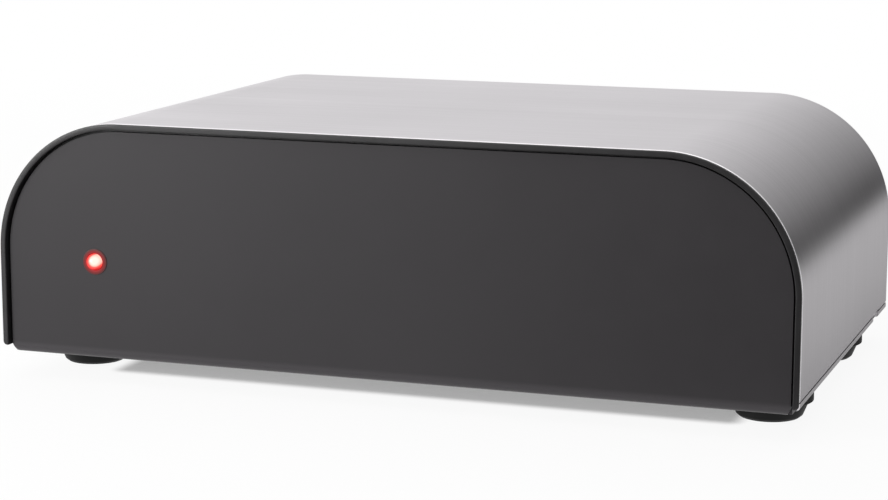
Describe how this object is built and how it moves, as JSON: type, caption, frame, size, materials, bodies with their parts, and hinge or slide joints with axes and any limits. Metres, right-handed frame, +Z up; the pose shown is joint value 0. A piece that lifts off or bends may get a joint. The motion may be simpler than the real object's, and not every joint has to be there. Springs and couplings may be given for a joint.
{
  "type": "phono preamp",
  "caption": "Small desk-top phono preamp: silver round-shouldered cover over a dark front panel with a red power lamp, rubber feet, and phono, ground and power sockets behind.",
  "frame": {"origin": "centre of the whole box at the level the feet stand on", "axes": "+Z up, +Y towards the rear sockets, +X to the right seen from the front"},
  "size_m": [0.15, 0.104, 0.0487],
  "materials": {
    "brushed_cover": "fine brushed across the width, clear anodised, satin",
    "trim_plastic": "black moulded, fine satin grain",
    "panel_paint": "dark grey smooth satin lacquer",
    "rear_paint": "black-grey fine powder coat",
    "foot_rubber": "matt moulded rubber",
    "dark_screws": "black zinc plated",
    "bright_screws": "bright zinc plated",
    "board_green": "green solder mask on glass laminate",
    "lamp_red": "red diffused lamp body, lit",
    "black_plastic": "black moulded, satin",
    "tinned_wire": "tinned copper",
    "plated_nickel": "nickel plated",
    "plated_gold": "thin gold plating",
    "insert_white": "white moulded",
    "insert_red": "red moulded",
    "chip_plastic": "black moulded resin",
    "capacitor_sleeve": "shrunk sleeve with a metal top",
    "film_red": "moulded case",
    "film_yellow": "moulded case",
    "resistor_blue": "lacquered barrel"
  },
  "bodies": {
    "root": {"amplifier_chips": "chip_plastic", "board_screws": "bright_screws", "board_standoffs": "bright_screws", "chassis_tray": "panel_paint", "chip_sockets": "chip_plastic", "circuit_board": "board_green", "coupling_capacitors": "film_red", "cover": "brushed_cover", "cover_screws": "dark_screws", "filter_capacitors": "film_yellow", "foot_front_left": "foot_rubber", "foot_front_right": "foot_rubber", "foot_rear_left": "foot_rubber", "foot_rear_right": "foot_rubber", "foot_screws": "dark_screws", "front_bezel": "trim_plastic", "ground_inner_nut": "bright_screws", "ground_stud": "plated_gold", "ground_tag": "tinned_wire", "input_housing": "black_plastic", "lamp_clip": "black_plastic", "lamp_legs": "tinned_wire", "left_input_barrel": "plated_gold", "left_input_contact": "plated_gold", "left_input_insert": "insert_white", "left_output_barrel": "plated_gold", "left_output_contact": "plated_gold", "left_output_insert": "insert_white", "output_housing": "black_plastic", "power_inlet": "black_plastic", "power_inlet_pin": "plated_nickel", "power_lamp": "lamp_red", "rear_panel": "rear_paint", "rear_panel_screws": "dark_screws", "rectifier_diodes": "chip_plastic", "reservoir_capacitors": "capacitor_sleeve", "resistors": "resistor_blue", "right_input_barrel": "plated_gold", "right_input_contact": "plated_gold", "right_input_insert": "insert_red", "right_output_barrel": "plated_gold", "right_output_contact": "plated_gold", "right_output_insert": "insert_red", "socket_screws": "dark_screws", "voltage_regulators": "chip_plastic"},
    "ground_washer": {"ground_washer": "plated_gold"},
    "ground_knob": {"ground_knob": "plated_gold"}
  },
  "joints": [
    {"name": "washer_slide", "type": "slide", "parent": "root", "child": "ground_washer", "axis": [0, 1, 0], "range_m": [0, 0.0028]},
    {"name": "knob_turn", "type": "hinge", "parent": "ground_washer", "child": "ground_knob", "pos_m": [0.026, 0.04185, 0.0266], "axis": [0, 1, 0], "range_deg": [0, 1440]}
  ],
  "couplings": [
    {"joint": "knob_turn", "follows": "washer_slide", "rad_per_m": 8976}
  ]
}
